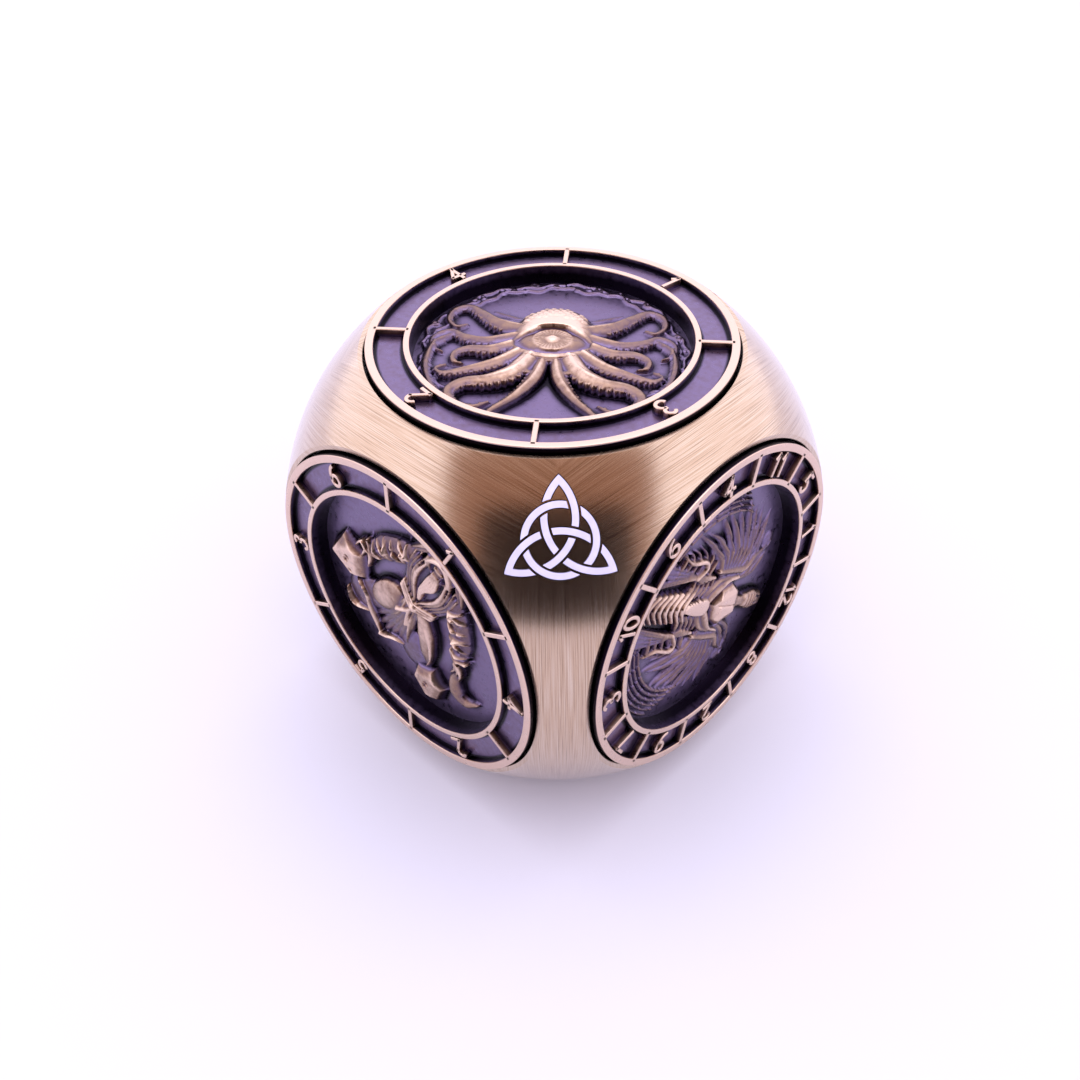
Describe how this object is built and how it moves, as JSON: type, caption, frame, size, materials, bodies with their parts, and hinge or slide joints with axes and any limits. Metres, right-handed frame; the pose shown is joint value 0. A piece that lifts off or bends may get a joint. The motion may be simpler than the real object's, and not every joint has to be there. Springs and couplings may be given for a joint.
{
  "type": "spinner die",
  "caption": "Ball-shaped metal die with a numbered dial turning on a small bearing in each face and an enamel knot at the corner they point to.",
  "frame": {"origin": "centre of the ball, midway between every pair of opposite dials", "axes": "+Z out of the four-number dial, -Y out of the six-number dial, +X out of the twelve-number dial; the twenty-number dial is underneath"},
  "size_m": [0.031, 0.031, 0.031],
  "materials": {
    "antique_bronze_body": "antique bronze plate on a zinc casting, brushed with the grain along each edge",
    "antique_bronze_dial": "antique bronze plate, dark purple-grey patina in the sunk parts, rubbed bright on the raised parts",
    "white_enamel": "glossy white enamel filled into engraved channels",
    "race_steel": "ground bearing steel",
    "ball_steel": "polished bearing steel",
    "cage_steel": "pressed steel",
    "shield_steel": "pressed steel"
  },
  "bodies": {
    "body": {"body_casting": "antique_bronze_body", "knot_enamel_front": "white_enamel", "knot_enamel_back": "white_enamel", "bearing_outer_race_d4": "race_steel", "bearing_shields_d4": "shield_steel", "bearing_outer_race_d6": "race_steel", "bearing_shields_d6": "shield_steel", "bearing_outer_race_d12": "race_steel", "bearing_shields_d12": "shield_steel", "bearing_outer_race_d8": "race_steel", "bearing_shields_d8": "shield_steel", "bearing_outer_race_d10": "race_steel", "bearing_shields_d10": "shield_steel", "bearing_outer_race_d20": "race_steel", "bearing_shields_d20": "shield_steel"},
    "dial_d4": {"dial_d4": "antique_bronze_dial", "bearing_inner_race_d4": "race_steel"},
    "cage_d4": {"bearing_balls_d4": "ball_steel", "bearing_cage_d4": "cage_steel"},
    "dial_d6": {"dial_d6": "antique_bronze_dial", "bearing_inner_race_d6": "race_steel"},
    "cage_d6": {"bearing_balls_d6": "ball_steel", "bearing_cage_d6": "cage_steel"},
    "dial_d12": {"dial_d12": "antique_bronze_dial", "bearing_inner_race_d12": "race_steel"},
    "cage_d12": {"bearing_balls_d12": "ball_steel", "bearing_cage_d12": "cage_steel"},
    "dial_d8": {"dial_d8": "antique_bronze_dial", "bearing_inner_race_d8": "race_steel"},
    "cage_d8": {"bearing_balls_d8": "ball_steel", "bearing_cage_d8": "cage_steel"},
    "dial_d10": {"dial_d10": "antique_bronze_dial", "bearing_inner_race_d10": "race_steel"},
    "cage_d10": {"bearing_balls_d10": "ball_steel", "bearing_cage_d10": "cage_steel"},
    "dial_d20": {"dial_d20": "antique_bronze_dial", "bearing_inner_race_d20": "race_steel"},
    "cage_d20": {"bearing_balls_d20": "ball_steel", "bearing_cage_d20": "cage_steel"}
  },
  "joints": [
    {"name": "dial_d4_spin", "type": "hinge", "parent": "body", "child": "dial_d4", "pos_m": [0, 0, 0.0155], "axis": [0, 0, 1], "continuous": true},
    {"name": "cage_d4_orbit", "type": "hinge", "parent": "body", "child": "cage_d4", "pos_m": [0, 0, 0.0155], "axis": [0, 0, 1], "continuous": true},
    {"name": "dial_d6_spin", "type": "hinge", "parent": "body", "child": "dial_d6", "pos_m": [0, -0.0155, 0], "axis": [0, -1, 0], "continuous": true},
    {"name": "cage_d6_orbit", "type": "hinge", "parent": "body", "child": "cage_d6", "pos_m": [0, -0.0155, 0], "axis": [0, -1, 0], "continuous": true},
    {"name": "dial_d12_spin", "type": "hinge", "parent": "body", "child": "dial_d12", "pos_m": [0.0155, 0, 0], "axis": [1, 0, 0], "continuous": true},
    {"name": "cage_d12_orbit", "type": "hinge", "parent": "body", "child": "cage_d12", "pos_m": [0.0155, 0, 0], "axis": [1, 0, 0], "continuous": true},
    {"name": "dial_d8_spin", "type": "hinge", "parent": "body", "child": "dial_d8", "pos_m": [0, 0.0155, 0], "axis": [0, 1, 0], "continuous": true},
    {"name": "cage_d8_orbit", "type": "hinge", "parent": "body", "child": "cage_d8", "pos_m": [0, 0.0155, 0], "axis": [0, 1, 0], "continuous": true},
    {"name": "dial_d10_spin", "type": "hinge", "parent": "body", "child": "dial_d10", "pos_m": [-0.0155, 0, 0], "axis": [-1, 0, 0], "continuous": true},
    {"name": "cage_d10_orbit", "type": "hinge", "parent": "body", "child": "cage_d10", "pos_m": [-0.0155, 0, 0], "axis": [-1, 0, 0], "continuous": true},
    {"name": "dial_d20_spin", "type": "hinge", "parent": "body", "child": "dial_d20", "pos_m": [0, 0, -0.0155], "axis": [0, 0, -1], "continuous": true},
    {"name": "cage_d20_orbit", "type": "hinge", "parent": "body", "child": "cage_d20", "pos_m": [0, 0, -0.0155], "axis": [0, 0, -1], "continuous": true}
  ],
  "couplings": [
    {"joint": "cage_d4_orbit", "follows": "dial_d4_spin", "ratio": 0.38},
    {"joint": "cage_d6_orbit", "follows": "dial_d6_spin", "ratio": 0.38},
    {"joint": "cage_d12_orbit", "follows": "dial_d12_spin", "ratio": 0.38},
    {"joint": "cage_d8_orbit", "follows": "dial_d8_spin", "ratio": 0.38},
    {"joint": "cage_d10_orbit", "follows": "dial_d10_spin", "ratio": 0.38},
    {"joint": "cage_d20_orbit", "follows": "dial_d20_spin", "ratio": 0.38}
  ]
}
